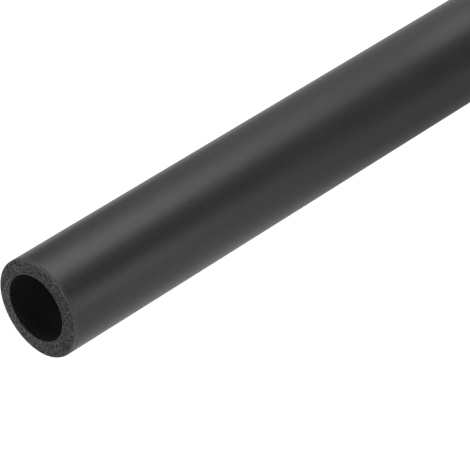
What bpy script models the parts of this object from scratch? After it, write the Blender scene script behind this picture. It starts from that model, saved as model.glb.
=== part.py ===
"""A length of pipe insulation lagging: one straight tube of closed-cell foam with a plain round bore.

The tube lies on its side with its axis along X. The world origin is under the middle of its length,
on the surface that it lies on.
"""

import math

import bpy

# Driving dimensions, in metres.
TUBE_LENGTH = 1.0  # one retail length
BORE_DIAMETER = 0.028  # slips over a 28 mm pipe
WALL_THICKNESS = 0.0065
RIM_WIDTH = 0.0016  # the cut end's softened outer edge, measured across the end face
RIM_DEPTH = 0.0008  # the same edge, measured along the tube

# How finely the round shapes are divided.
SIDES = 64
RIM_STEPS = 4

# Finish of the foam.
FOAM_COLOR = (0.045, 0.045, 0.047, 1.0)
FOAM_ROUGHNESS = 0.62

BORE_RADIUS = BORE_DIAMETER / 2
OUTER_RADIUS = BORE_RADIUS + WALL_THICKNESS
HALF_FACET = math.pi / SIDES


def clear_scene():
    for old in list(bpy.data.objects):
        bpy.data.objects.remove(old, do_unlink=True)


def new_collection(name):
    collection = bpy.data.collections.new(name)
    bpy.context.scene.collection.children.link(collection)
    return collection


def foam_material():
    material = bpy.data.materials.new("black_foam")
    material.use_nodes = True
    shader = material.node_tree.nodes["Principled BSDF"]
    shader.inputs["Base Color"].default_value = FOAM_COLOR
    shader.inputs["Roughness"].default_value = FOAM_ROUGHNESS
    shader.inputs["Metallic"].default_value = 0.0
    material.diffuse_color = FOAM_COLOR
    return material


def rim_arc(centre_height, start, end):
    """Points (radius, height) of one outer edge: an elliptic quarter between two angles.

    The angles are measured from the radial direction.
    """
    arc = []
    for step in range(RIM_STEPS + 1):
        angle = start + (end - start) * step / RIM_STEPS
        radius = OUTER_RADIUS - RIM_WIDTH * (1 - math.cos(angle))
        arc.append((radius, centre_height + RIM_DEPTH * math.sin(angle)))
    return arc


def wall_section():
    """The wall cut along the axis, as a closed outline that runs down the outside and back up the bore."""
    half_length = TUBE_LENGTH / 2
    rim_height = half_length - RIM_DEPTH
    outline = rim_arc(rim_height, math.pi / 2, 0)
    outline += rim_arc(-rim_height, 0, -math.pi / 2)
    outline += [(BORE_RADIUS, -half_length), (BORE_RADIUS, half_length)]
    return outline


def turned_tube(name, outline, material, collection):
    """The outline turned once round the object's Z axis.

    It starts half a facet round, so that the lowest facet lies flat once the tube is on its side.
    """
    points = [(r * math.cos(HALF_FACET), r * math.sin(HALF_FACET), z) for r, z in outline]
    edges = [(i, (i + 1) % len(points)) for i in range(len(points))]
    mesh = bpy.data.meshes.new(name)
    mesh.from_pydata(points, edges, [])
    tube = bpy.data.objects.new(name, mesh)
    collection.objects.link(tube)

    turn = tube.modifiers.new("turn", "SCREW")
    turn.axis = "Z"
    turn.angle = 2 * math.pi
    turn.steps = SIDES
    turn.render_steps = SIDES
    turn.use_merge_vertices = True
    turn.merge_threshold = 0.00001
    bpy.context.view_layer.objects.active = tube
    bpy.ops.object.modifier_apply(modifier=turn.name)

    tube.data.materials.append(material)
    tube.data.shade_smooth()
    tube.data.set_sharp_from_angle(angle=math.radians(35))
    return tube


def main():
    clear_scene()
    collection = new_collection("pipe_insulation_lagging")
    tube = turned_tube("insulation_tube", wall_section(), foam_material(), collection)
    # Laid on its side: the turning axis goes along X, and the lowest facet lies on the ground.
    tube.rotation_euler = (0, math.pi / 2, 0)
    tube.location = (0, 0, OUTER_RADIUS * math.cos(HALF_FACET))


main()
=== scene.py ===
import math

import bpy
import numpy as np
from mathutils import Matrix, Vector


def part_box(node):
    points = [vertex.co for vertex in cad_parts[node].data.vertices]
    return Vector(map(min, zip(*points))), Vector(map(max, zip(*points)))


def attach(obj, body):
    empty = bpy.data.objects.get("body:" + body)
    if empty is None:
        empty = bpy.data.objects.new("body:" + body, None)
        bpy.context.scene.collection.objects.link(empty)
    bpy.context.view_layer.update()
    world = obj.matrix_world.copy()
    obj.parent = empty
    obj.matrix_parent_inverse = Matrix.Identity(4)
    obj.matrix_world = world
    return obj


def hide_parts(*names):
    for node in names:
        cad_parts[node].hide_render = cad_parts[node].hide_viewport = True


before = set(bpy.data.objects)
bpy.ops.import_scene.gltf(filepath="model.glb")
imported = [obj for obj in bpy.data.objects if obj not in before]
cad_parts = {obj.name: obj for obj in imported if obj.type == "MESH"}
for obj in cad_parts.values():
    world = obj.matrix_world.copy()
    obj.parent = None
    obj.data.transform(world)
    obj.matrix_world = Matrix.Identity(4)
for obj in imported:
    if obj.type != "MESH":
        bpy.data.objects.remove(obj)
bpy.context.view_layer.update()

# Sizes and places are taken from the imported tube, which lies along X.
low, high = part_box("insulation_tube")
outerRadius = (high.z - low.z) / 2
axisHeight = (high.z + low.z) / 2
nearEnd, farEnd = low.x, high.x
tubeLength = farEnd - nearEnd


# A socket of a material. Arithmetic on it adds Math nodes.
class Wire:
    def __init__(self, paint, socket):
        self.paint = paint
        self.socket = socket

    def math(self, operation, *values):
        return self.paint.node("ShaderNodeMath", {"operation": operation}, dict(enumerate(values)))

    def __add__(self, other):
        return self.math("ADD", self, other)

    def __sub__(self, other):
        return self.math("SUBTRACT", self, other)

    def __rsub__(self, other):
        return self.math("SUBTRACT", other, self)

    def __mul__(self, other):
        return self.math("MULTIPLY", self, other)

    def __pow__(self, other):
        return self.math("POWER", self, other)

    __radd__, __rmul__ = __add__, __mul__


# A material being made: one method adds any node to it.
class Paint:
    def __init__(self, name):
        self.material = bpy.data.materials.new(name)
        self.material.use_nodes = True
        self.tree = self.material.node_tree
        self.shader = self.tree.nodes["Principled BSDF"]

    # settings are set before the sockets; a ramp's "stops" are (position, value) pairs
    def node(self, kind, settings=None, sockets=None, out=0):
        made = self.tree.nodes.new(kind)
        for name, value in (settings or {}).items():
            if name == "stops":
                self.setStops(made.color_ramp, value)
            else:
                setattr(made, name, value)
        for name, value in (sockets or {}).items():
            self.plug(made.inputs[name], value)
        return Wire(self, made.outputs[out])

    def setStops(self, ramp, stops):
        while len(ramp.elements) < len(stops):
            ramp.elements.new(0.5)
        for element, (position, value) in zip(ramp.elements, stops):
            element.position = position
            element.color = (value, value, value, 1)

    def plug(self, socket, value):
        if isinstance(value, Wire):
            self.tree.links.new(value.socket, socket)
        else:
            socket.default_value = value

    # a socket of the material's own shader
    def feed(self, name, value):
        self.plug(self.shader.inputs[name], value)

    def place(self):
        return self.node("ShaderNodeTexCoord", out="Object")

    # a place scaled along the tube: below 1 it draws a pattern out that way
    def drawn(self, place, scale):
        return self.node("ShaderNodeMapping", None, {"Vector": place, "Scale": (scale, 1, 1)})

    def attribute(self, name):
        return self.node("ShaderNodeAttribute", {"attribute_name": name}, out="Fac")

    def ramp(self, value, stops):
        return self.node("ShaderNodeValToRGB", {"stops": stops}, {0: value})

    def noise(self, place, scale, detail, roughness):
        sockets = {"Vector": place, "Scale": scale, "Detail": detail, "Roughness": roughness}
        return self.node("ShaderNodeTexNoise", None, sockets)

    def grey(self, tone):
        return self.node("ShaderNodeCombineColor", None, {"Red": tone, "Green": tone, "Blue": tone})

    def bump(self, height, strength, distance):
        sockets = {"Height": height, "Strength": strength, "Distance": distance}
        return self.node("ShaderNodeBump", None, sockets)


tube = dict(
    boreRadius=0.0140,
    pointsRound=720,
    skinRows=20,
    boreRows=14,
    closeRows=(0.0001, 0.0004, 0.0015),  # extra rows this far past a rounded edge: its shading ends there
    # the cut faces
    faceRows=25,
    dome=0.0003,  # how far a face falls back from the bore out to the softened edge
    domeCurve=1.3,  # the power of that curve: above 1 it falls faster further out
    lip=0.00025,  # rounding where the face meets the bore
    lipRows=3,
    lipCut=0.4,  # share of cut surface where that rounding starts
    # the softened outer edge
    rimWidth=0.0016,  # across the face
    rimDepth=0.0008,  # along the tube
    rimRows=12,
    sharper=((255, 0.85), (30, 0.75)),  # it is sharper round these places: degrees, how much
    sharperWidth=34,  # degrees
    cutReach=1.5,  # how far round it the cut surface shows, in radians
    # how worn its skin is, with painted light that lifts the rounded edge's shade, by the radians round
    # it from the face
    wearAndLightTurns=((0, 0.0), (0.3, 0.10), (0.6, 0.65), (1.0, 1.2), (1.3, 1.0), (1.571, 0.45)),
    # times this, by the degrees round the tube: 0 is towards +Y and 90 is up
    wearAndLightRound=(
        (0, 0.8), (75, 0.6), (110, 0.7), (138, 0.2), (160, 0.95), (180, 0.8),
        (202, 2.0), (240, 1.0), (360, 0.8),
    ),
    wearAndLightReach=0.0010,  # length of skin past the edge over which the wear and its painted light end
    # the open cells of the cut faces
    cells=((0.00095, 1.0), (0.00062, 0.8), (0.00036, 0.45)),  # size, share of the full depth
    cellDepth=0.00030,  # the full depth
    cellScatter=0.85,  # how far they stray from a regular grid, at most 1
    cellSlope=1.8,  # how steeply they sink from the walls between them
    cellsFrom=0.55,  # share of cut surface at which they start to sink in
    cellsOver=0.3,  # and what it grows by until they have their full depth
    cellSeeds=(3, 11),  # near face, far face
    # the near end's bore
    boreShift=(0.00085, -0.00008),  # how far it is off centre, sideways and up
    shiftFade=0.06,  # length over which that goes
)

# the parts of the wall's line, in its order
zones = dict(nearFace=0, skin=1, farFace=2, bore=3)


# A number in 0..1 for each whole-number pair: the fraction of a large sine of the pair.
def scatter(i, j, seed):
    value = np.sin(i * 127.1 + j * 311.7 + seed * 74.7) * 43758.5453  # any large uneven numbers do
    return value - np.floor(value)


# Bubbles cut open: each square of a grid holds one bubble at a scattered place, cut at a scattered
# depth. The result is that depth at a bubble's middle and 0 on the wall between bubbles: the
# difference of the distances to the nearest two middles over their sum, clipped, times the depth.
def openCells(y, z, size, seed):
    gridY, gridZ = np.floor(y / size), np.floor(z / size)
    nearest = np.full(y.shape, np.inf)
    second = np.full(y.shape, np.inf)
    depth = np.zeros(y.shape)
    for stepY in (-1, 0, 1):
        for stepZ in (-1, 0, 1):
            i, j = gridY + stepY, gridZ + stepZ
            centreY = i + 0.5 + tube["cellScatter"] * (scatter(i, j, seed) - 0.5)
            centreZ = j + 0.5 + tube["cellScatter"] * (scatter(i, j, seed + 1) - 0.5)
            away = np.hypot(y / size - centreY, z / size - centreZ)
            depth = np.where(away < nearest, scatter(i, j, seed + 2), depth)
            second = np.minimum(second, np.maximum(nearest, away))
            nearest = np.minimum(nearest, away)
    return depth * np.clip(tube["cellSlope"] * (second - nearest) / (second + nearest), 0, 1)


# Places from one number to another, denser towards both by a cosine, with the close rows added there.
def easedRows(first, last, count, close):
    inner = first + (last - first) * (1 - np.cos(np.linspace(0, math.pi, count))) / 2
    return np.sort(np.concatenate([inner, first + close, last - close]))


# The wall cut along the axis, as one closed line: over the near cut face outwards, along the skin,
# over the far face inwards and back through the bore. A face is a quarter circle at the bore, a
# power curve, and a quarter ellipse for the softened edge. Each point has its x from the near end,
# radius, share of cut surface, wear with painted light, length along the face from the bore, and zone.
def wallLine():
    t = tube
    bore, lip, dome = t["boreRadius"], t["lip"], t["dome"]
    wide, deep = t["rimWidth"], t["rimDepth"]
    turn = np.linspace(0, math.pi / 2, t["lipRows"] + 1)[1:]
    lipX = lip * (1 - np.sin(turn))
    lipR = bore + lip * (1 - np.cos(turn))
    lipCut = np.linspace(t["lipCut"], 1, len(lipX))
    faceR = np.linspace(bore + lip, outerRadius - wide, t["faceRows"] + 1)[1:]
    faceX = dome * ((faceR - bore - lip) / (faceR[-1] - bore - lip)) ** t["domeCurve"]
    turn = np.linspace(0, math.pi / 2, t["rimRows"] + 1)[1:]
    rimX = dome + (deep - dome) * (1 - np.cos(turn))
    rimR = outerRadius - wide * (1 - np.sin(turn))
    rimCut = np.clip(1 - turn / t["cutReach"], 0, 1)
    # wear and painted light that lifts the rounded edge's shade, by the turn over the edge
    rimWearAndLight = np.interp(turn, *zip(*t["wearAndLightTurns"]))

    endX = np.concatenate([lipX, faceX, rimX])
    endR = np.concatenate([lipR, faceR, rimR])
    endCut = np.concatenate([lipCut, np.ones(len(faceR)), rimCut])
    endWearAndLight = np.concatenate([np.zeros(len(lipX) + len(faceR)), rimWearAndLight])
    endAlong = np.concatenate([[0], np.cumsum(np.hypot(np.diff(endX), np.diff(endR)))])

    close = np.array(t["closeRows"])
    skinX = easedRows(deep, tubeLength - deep, t["skinRows"], close)[1:-1]
    boreX = easedRows(lip, tubeLength - lip, t["boreRows"], close)[::-1]
    onSkin, onBore = np.zeros(len(skinX)), np.zeros(len(boreX))
    fromEnd = np.minimum(skinX, tubeLength - skinX) - deep
    skinWearAndLight = np.interp(fromEnd, [0, t["wearAndLightReach"]], [rimWearAndLight[-1], 0])

    x = np.concatenate([endX, skinX, tubeLength - endX[::-1], boreX])
    r = np.concatenate([endR, onSkin + outerRadius, endR[::-1], onBore + bore])
    cut = np.concatenate([endCut, onSkin, endCut[::-1], onBore])
    wear = np.concatenate([endWearAndLight, skinWearAndLight, endWearAndLight[::-1], onBore])
    along = np.concatenate([endAlong, onSkin, endAlong[::-1], onBore])
    zone = np.repeat(list(zones.values()), [len(endX), len(skinX), len(endX), len(boreX)])
    return x, r, cut, wear, along, zone


# The radius with the softened edge filled out round some places: a smooth bump in the angle for each,
# times the edge's width, growing over the face and never past the outside. None on skin and bore.
def sharperEdge(r, angle):
    t = tube
    narrow = 2 / math.radians(t["sharperWidth"]) ** 2
    fuller = 0
    for place, amount in t["sharper"]:
        fuller = fuller + amount * np.exp(narrow * (np.cos(angle - math.radians(place)) - 1))
    share = np.clip((r - t["boreRadius"]) / (outerRadius - t["rimWidth"] - t["boreRadius"]), 0, 1)
    return r + fuller * np.minimum(t["rimWidth"] * share, outerRadius - r)


# How deep the face's open cells are, from 0 to 1: the deepest of a few layers of cells, laid on the
# face unrolled past its rounded edge so that they keep their size.
def facePores(along, angle, zone):
    reach = tube["boreRadius"] + along
    nearSeed, farSeed = tube["cellSeeds"]
    seed = np.where(zone == zones["nearFace"], nearSeed, farSeed)
    pore = 0
    for size, share in tube["cells"]:
        layer = openCells(reach * np.cos(angle), reach * np.sin(angle), size, seed)
        pore = np.maximum(pore, share * layer)
    return pore


# The whole tube: the wall's line turned round the axis, radius times cosine and sine of the angle,
# with the cut faces sunk into their open cells and the near end's bore moved off centre.
def insulationTube():
    t = tube
    line = wallLine()
    x, r, cut, wear, along, zone = (row[:, None] for row in line)
    angle = np.linspace(0, 2 * math.pi, t["pointsRound"], endpoint=False)[None, :]
    # the wear and painted light scaled round the tube, where the edge's shading differs
    wear = wear * np.interp(np.degrees(angle), *zip(*t["wearAndLightRound"]))
    r = sharperEdge(r, angle)
    pore = facePores(along, angle, zone) * (cut > 0)
    sink = t["cellDepth"] * pore * np.clip((cut - t["cellsFrom"]) / t["cellsOver"], 0, 1)
    inward = np.where(zone == zones["farFace"], -1, 1)
    # the shift fades towards the outside, and along the tube as a bell curve
    wallShare = np.clip((outerRadius - r) / (outerRadius - t["boreRadius"]), 0, 1)
    fade = np.exp(-((x / t["shiftFade"]) ** 2)) * wallShare
    y = r * np.cos(angle) + t["boreShift"][0] * fade
    z = r * np.sin(angle) + t["boreShift"][1] * fade
    points = np.stack([nearEnd + x + inward * sink, y, z + axisHeight], -1)

    mesh = gridMesh("foamTube", points)
    for name, values in (("pore", pore), ("cut", cut), ("wear", wear)):
        values = np.broadcast_to(values, pore.shape).astype(np.float32)
        mesh.attributes.new(name, "FLOAT", "POINT").data.foreach_set("value", values.ravel())
    layOutMap(mesh, line)
    mesh.materials.append(foamOutside())
    mesh.materials.append(foamBore())
    isBore = np.repeat(faceZone(line[-1]) == zones["bore"], t["pointsRound"])
    mesh.polygons.foreach_set("material_index", isBore.astype(np.int32))
    made = bpy.data.objects.new("foam_tube", mesh)
    bpy.context.scene.collection.objects.link(made)
    return made


# A closed mesh from a grid of points whose rows and columns both run round to their start.
def gridMesh(name, points):
    rows, columns = points.shape[:2]
    index = np.arange(rows * columns).reshape(rows, columns)
    across, along = np.roll(index, -1, 1), np.roll(index, -1, 0)
    faces = np.stack([index, across, np.roll(along, -1, 1), along], -1).reshape(-1, 4)
    mesh = bpy.data.meshes.new(name)
    mesh.from_pydata(points.reshape(-1, 3).tolist(), [], faces.tolist())
    mesh.shade_smooth()
    return mesh


bakeMap = dict(
    # strips of the map, each the full width: lowest and highest place
    skin=(0.010, 0.560),
    bore=(0.580, 0.770),
    nearFace=(0.785, 0.885),
    farFace=(0.895, 0.995),
    margin=0.004,  # left free at both sides
)


# Skin and bore lie along the map, and each cut face is unrolled into a strip of its own: across it
# the turn round the tube, and up it the length along the face.
def layOutMap(mesh, line):
    x, _, _, _, along, zone = line
    rows, columns = len(x), tube["pointsRound"]
    margin = bakeMap["margin"]
    uv = np.zeros((rows, columns, 4, 2))
    for corner, (stepRow, stepColumn) in enumerate(((0, 0), (0, 1), (1, 1), (1, 0))):
        row = (np.arange(rows) + stepRow) % rows
        turn = ((np.arange(columns) + stepColumn) / columns)[None, :]
        alongTube = (x[row] / tubeLength)[:, None]
        alongFace = (np.where(zone == zones["bore"], 0, along[row]) / along.max())[:, None]
        for name, kind in zones.items():
            isFace = name in ("nearFace", "farFace")
            first, second = (turn, alongFace) if isFace else (alongTube, turn)
            first, second = np.broadcast_arrays(first, second)
            lowest, highest = bakeMap[name]
            here = faceZone(zone) == kind
            uv[here, :, corner, 0] = margin + (1 - 2 * margin) * first[here]
            uv[here, :, corner, 1] = lowest + (highest - lowest) * second[here]
    mesh.uv_layers.new(name="OFBake").uv.foreach_set("vector", uv.ravel().astype(np.float32))


# The zone of the mesh faces between one row and the next: those at both ends of the skin are the
# skin's, and of the others those at both ends of the bore are the bore's.
def faceZone(zone):
    following = np.roll(zone, -1)
    isSkin = (zone == zones["skin"]) | (following == zones["skin"])
    isBore = (zone == zones["bore"]) | (following == zones["bore"])
    return np.where(isSkin, zones["skin"], np.where(isBore, zones["bore"], zone))


# noises are (scale, detail, roughness)
skin = dict(
    color=0.0150,
    mottle=0.0056,  # how much of it the clouds change
    grain=0.012,  # and the peel and the leather
    roughness=0.40,
    roughMottle=0.08,  # how much of it the clouds change
    specular=0.25,
    wearAndLightColor=0.056,  # added where the skin is scuffed at the ends, and painted light that lifts the rounded edges' shade
    wearRoughness=0.85,
    wearAndLightLeast=0.6,  # the wear and painted light where there are no clouds
    wearAndLightClouds=0.8,  # and what they add to it
    clouds=(45, 5, 0.6),
    peel=(1500, 3, 0.6),
    leather=(3400, 2, 0.6),
    grainDrawn=0.3,  # scale of these two along the tube, where round it is 1
    lines=(700, 2, 0.6),
    linesDrawn=0.02,
    peelHeight=0.30,
    leatherHeight=0.22,
    lineHeight=0.10,
    bumpStrength=1.0,
    bumpDistance=0.0001,
)
cutFace = dict(
    wallColor=0.0355,  # cell walls
    wallPower=1.3,  # above 1 the walls look thinner
    poreShadeColor=0.002,  # painted shade at the bottoms of the deepest cells
    glintColor=0.094,  # painted glints, added at scattered spots on the cell walls
    glints=(1500, 1, 0.5),
    glintStops=((0.50, 0.0), (0.68, 1.0)),
    grain=(3000, 2, 0.6),
    grainLeast=0.15,  # share of the colour where there is no grain
    grainMore=1.7,  # and what the grain adds to it
    grainHeight=0.3,
    roughness=0.8,
    ragged=(1100, 2, 0.6),  # breaks up the line where the cut surface meets the skin
    raggedness=0.5,
    cutStops=((0.68, 0.0), (0.88, 1.0)),
)
boreWall = dict(
    color=0.014,
    mottle=0.5,  # how much of it the lines and the clouds change
    roughness=0.9,
    roughMottle=0.1,
    specular=0.05,
    lines=(900, 3, 0.6),
    linesDrawn=0.05,
    clouds=(60, 4, 0.6),
    bumpStrength=0.4,
    bumpDistance=0.0001,
)


# Satin skin, drawn through a die: its colour plus faint clouds, a fine orange peel stretched along
# the tube, and wear with painted light at the rounded ends. Where the attribute "cut" says so, the
# cut end instead: pale cell walls round open cells darkened by painted shade, one minus the cell's
# depth to a power, times a fine grain, with painted glints.
def foamOutside():
    s, c = skin, cutFace
    p = Paint("foam_outside")
    place = p.place()
    clouds = p.noise(place, *s["clouds"])
    drawn = p.drawn(place, s["grainDrawn"])
    peel = p.noise(drawn, *s["peel"])
    leather = p.noise(drawn, *s["leather"])
    lines = p.noise(p.drawn(place, s["linesDrawn"]), *s["lines"])
    wornAndLit = p.attribute("wear") * (clouds * s["wearAndLightClouds"] + s["wearAndLightLeast"])
    satin = (clouds - 0.5) * s["mottle"] + (peel + leather - 1) * s["grain"] + s["color"]
    # painted light, partly wear: the rounded ends are made lighter where they would be shaded
    satin = satin + wornAndLit * s["wearAndLightColor"]
    rough = (clouds - 0.5) * s["roughMottle"] + s["roughness"]
    rough = wornAndLit * (s["wearRoughness"] - s["roughness"]) + rough
    height = peel * s["peelHeight"] + leather * s["leatherHeight"] + lines * s["lineHeight"]

    grain = p.noise(place, *c["grain"])
    # painted glints: bright spots that stand in for light caught by the cell walls
    glints = p.ramp(p.noise(place, *c["glints"]), c["glintStops"])
    # painted shade: the colour darkens with each open cell's depth, as shade falls into a cell
    litWall = (1 - p.attribute("pore")) ** c["wallPower"]
    bare = litWall * (c["wallColor"] - c["poreShadeColor"]) + c["poreShadeColor"]
    bare = bare * (grain * c["grainMore"] + c["grainLeast"]) + glints * litWall * c["glintColor"]

    ragged = (p.noise(place, *c["ragged"]) - 0.5) * c["raggedness"]
    isCut = p.ramp(p.attribute("cut") + ragged, c["cutStops"])
    p.feed("Base Color", p.grey(isCut * bare + (1 - isCut) * satin))
    p.feed("Roughness", isCut * c["roughness"] + (1 - isCut) * rough)
    height = isCut * grain * c["grainHeight"] + (1 - isCut) * height
    p.feed("Normal", p.bump(height, s["bumpStrength"], s["bumpDistance"]))
    p.feed("Specular IOR Level", s["specular"])
    return p.material


# The bore's own skin: dull, with faint lines along it from the die's core and faint clouds.
def foamBore():
    b = boreWall
    p = Paint("foam_bore")
    place = p.place()
    lines = p.noise(p.drawn(place, b["linesDrawn"]), *b["lines"])
    clouds = p.noise(place, *b["clouds"])
    p.feed("Base Color", p.grey(((lines + clouds) * b["mottle"] + (1 - b["mottle"])) * b["color"]))
    p.feed("Roughness", (clouds - 0.5) * b["roughMottle"] + b["roughness"])
    p.feed("Normal", p.bump(lines, b["bumpStrength"], b["bumpDistance"]))
    p.feed("Specular IOR Level", b["specular"])
    return p.material


table = dict(
    size=80,
    color=(0.08, 0.08, 0.08, 1),
    roughness=0.9,
    specular=0.1,
    glow=1.00,
    # a dimmer strip of it along the tube, a painted shadow of the tube which only reflections see
    shadowColor=(0.05, 0.05, 0.05, 1),
    dimWidth=0.11,  # from under the tube's axis to its far edge
    dimGap=0.004,  # left free under the axis
    dimHeight=0.0005,  # above the table
    # the painted shadow's glow along the tube, by the place from the near end in shares of the reach
    dimReach=0.25,
    shadowStops=((0.40, 1.0), (0.52, 0.85), (0.67, 0.68), (0.81, 0.50), (1.0, 0.42)),
    # and painted light: a brighter line along it, by the place across it from its far edge to the tube
    litLineStops=((0.22, 0.0), (0.32, 0.5), (0.50, 0.5), (0.60, 0.0)),
)


# A pale table that glows, so that it shows as nearly pure white.
def paleFloor():
    bpy.ops.mesh.primitive_plane_add(size=table["size"], location=(0, 0, 0))
    floor = bpy.context.object
    floor.name = "floor"
    p = Paint("pale_floor")
    p.feed("Base Color", table["color"])
    p.feed("Roughness", table["roughness"])
    p.feed("Specular IOR Level", table["specular"])
    p.feed("Emission Color", (1, 1, 1, 1))
    p.feed("Emission Strength", table["glow"])
    floor.data.materials.append(p.material)


# A flat strip just above the table, a painted shadow with a painted brighter line: its glow is a ramp
# along the tube plus a ramp across the strip.
def paintedShadowStrip():
    nearSide, farSide, z = -table["dimGap"], -table["dimWidth"], table["dimHeight"]
    corners = [(nearEnd, farSide, z), (farEnd, farSide, z), (farEnd, nearSide, z), (nearEnd, nearSide, z)]
    mesh = bpy.data.meshes.new("painted_shadow_strip")
    mesh.from_pydata(corners, [], [(0, 1, 2, 3)])
    p = Paint("painted_shadow_table")
    place = p.place()
    along = p.node("ShaderNodeSeparateXYZ", None, {"Vector": place}, out="X")
    across = p.node("ShaderNodeSeparateXYZ", None, {"Vector": place}, out="Y")
    # painted shadow of the tube on the table, seen only in reflections
    glow = p.ramp((along - nearEnd) * (1 / table["dimReach"]), table["shadowStops"])
    # painted light: a brighter line along the strip
    glow = glow + p.ramp((across - farSide) * (1 / table["dimWidth"]), table["litLineStops"])
    p.feed("Emission Color", glow)
    p.feed("Emission Strength", table["glow"])
    p.feed("Base Color", table["shadowColor"])
    p.feed("Specular IOR Level", 0.0)
    mesh.materials.append(p.material)
    strip = bpy.data.objects.new("painted_shadow_strip", mesh)
    strip.visible_camera = False
    strip.visible_shadow = False
    bpy.context.scene.collection.objects.link(strip)


studio = dict(
    target=(0.12, 0.0, 0.02),  # where a lamp without an aim points, from the near end's foot
    # degrees round from +X and up, distance and size in metres, glow as radiance
    lamps=dict(
        key=dict(azimuth=16, elevation=82, distance=1.17, width=0.90, height=1.20, glow=6.42),
        highBack=dict(azimuth=38, elevation=33, distance=1.20, width=0.80, height=1.20, glow=0.71),
        strip=dict(azimuth=287, elevation=8, distance=0.45, width=0.16, height=0.26, glow=4.78),
        card=dict(  # lights the near cut face
            aim=(0, -0.003, 0.003),
            azimuth=140, elevation=0, distance=0.057, width=0.03, height=0.007, glow=25.5,
        ),
        topCard=dict(  # brightens the highlight along the top, further from that end
            aim=(0.297, 0.0, 0.08),
            azimuth=0, elevation=90, distance=0, width=0.10, height=0.036, glow=1.35,
        ),
    ),
    # a faint lamp in the near end's bore, which lifts its black: place from the middle of the cut face
    boreFill=dict(place=(0.014, -0.0015, -0.003), radius=0.004, watts=0.0020),
    sky=0.17,
)


# A lamp that the camera doesn't see.
def addLamp(name, data, place):
    lamp = bpy.data.objects.new(name, data)
    lamp.location = place
    lamp.visible_camera = False
    bpy.context.scene.collection.objects.link(lamp)
    return lamp


# Flat lamps that face their aim from the given direction, their watts the glow times pi times the
# area, then the faint lamp in the bore and an even white sky.
def lampsAndWorld():
    for name, lamp in studio["lamps"].items():
        aim = Vector((nearEnd, 0, 0)) + Vector(lamp.get("aim", studio["target"]))
        turn, rise = math.radians(lamp["azimuth"]), math.radians(lamp["elevation"])
        way = Vector((math.cos(rise) * math.cos(turn), math.cos(rise) * math.sin(turn), math.sin(rise)))
        data = bpy.data.lights.new(name, "AREA")
        data.shape = "RECTANGLE"
        data.size, data.size_y = lamp["width"], lamp["height"]
        data.energy = lamp["glow"] * math.pi * lamp["width"] * lamp["height"]
        box = addLamp(name, data, aim + way * lamp["distance"])
        box.rotation_euler = way.to_track_quat("Z", "Y").to_euler()
    fill = studio["boreFill"]
    data = bpy.data.lights.new("boreFill", "POINT")
    data.energy = fill["watts"]
    data.shadow_soft_size = fill["radius"]
    addLamp("boreFill", data, Vector((nearEnd, 0, axisHeight)) + Vector(fill["place"]))
    world = bpy.data.worlds.new("studio")
    world.use_nodes = True
    sky = world.node_tree.nodes["Background"]
    sky.inputs["Strength"].default_value = studio["sky"]
    sky.inputs["Color"].default_value = (1, 1, 1, 1)
    bpy.context.scene.world = world


viewpoint = dict(
    azimuth=-47.107,  # degrees, round the vertical from looking along +Y
    elevation=35.393,
    lens=263.4,  # mm
    frameWidth=36,  # mm
    clip=(0.05, 100),
    fromNearEnd=(-0.70395, -0.7547, 0.7653),  # camera's place from the middle of the near cut face
)


# The camera, level from side to side, looking down by the elevation and turned by the azimuth.
def camera():
    v = viewpoint
    data = bpy.data.cameras.new("camera")
    data.lens = v["lens"]
    data.sensor_width = v["frameWidth"]
    data.clip_start, data.clip_end = v["clip"]
    made = bpy.data.objects.new("camera", data)
    made.location = Vector((nearEnd, 0, axisHeight)) + Vector(v["fromNearEnd"])
    made.rotation_euler = (math.radians(90 - v["elevation"]), 0, math.radians(v["azimuth"]))
    bpy.context.scene.collection.objects.link(made)
    bpy.context.scene.camera = made


piece = insulationTube()
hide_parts("insulation_tube")
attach(piece, "root")
print("tube:", len(piece.data.polygons) * 2, "triangles")

paleFloor()
paintedShadowStrip()
print("table done")
lampsAndWorld()
camera()
bpy.context.scene.view_settings.view_transform = "Standard"
print("lamps and camera done")
